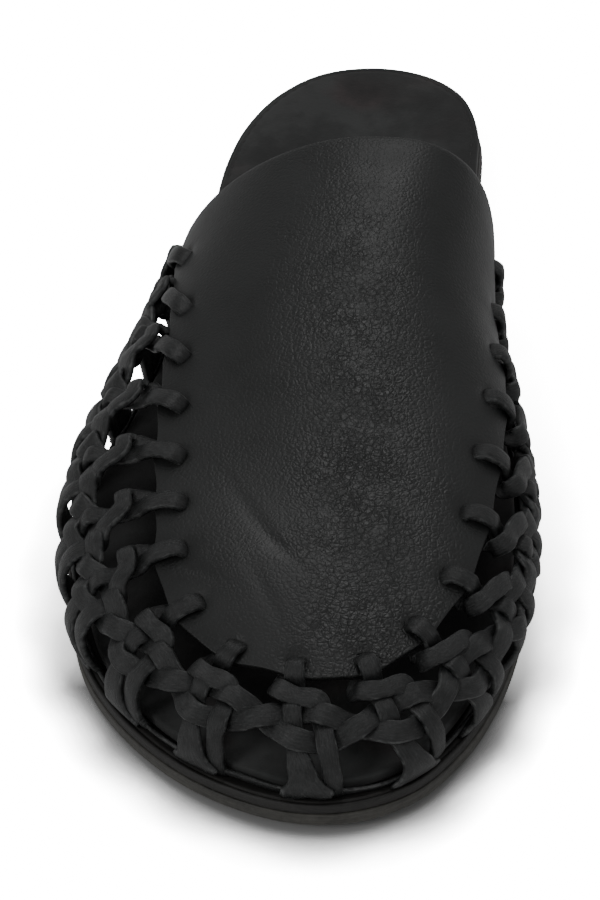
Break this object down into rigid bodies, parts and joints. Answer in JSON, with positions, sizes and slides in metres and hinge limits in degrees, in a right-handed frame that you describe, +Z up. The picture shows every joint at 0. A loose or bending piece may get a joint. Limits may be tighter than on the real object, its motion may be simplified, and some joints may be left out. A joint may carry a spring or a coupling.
{
  "type": "woven leather mule",
  "caption": "Right backless leather shoe: a smooth vamp held by a woven band of leather strips on a flat stacked leather sole, open at the heel.",
  "frame": {"origin": "middle of the bounding box, on the ground under the sole", "axes": "+Z up, -Y towards the toe, +X towards the inner side of the foot, where the big toe is"},
  "size_m": [0.1134, 0.287, 0.064],
  "materials": {
    "outsole_leather": "burnished dark brown edge",
    "midsole_leather": "waxed dark brown edge",
    "insole_suede": "matte black suede",
    "vamp_leather": "fine pebbled grain, low sheen",
    "strip_leather": "matte strips with lengthwise grain"
  },
  "bodies": {
    "root": {"outsole": "outsole_leather", "midsole": "midsole_leather", "insole": "insole_suede", "vamp": "vamp_leather", "woven_band": "strip_leather"}
  },
  "joints": []
}
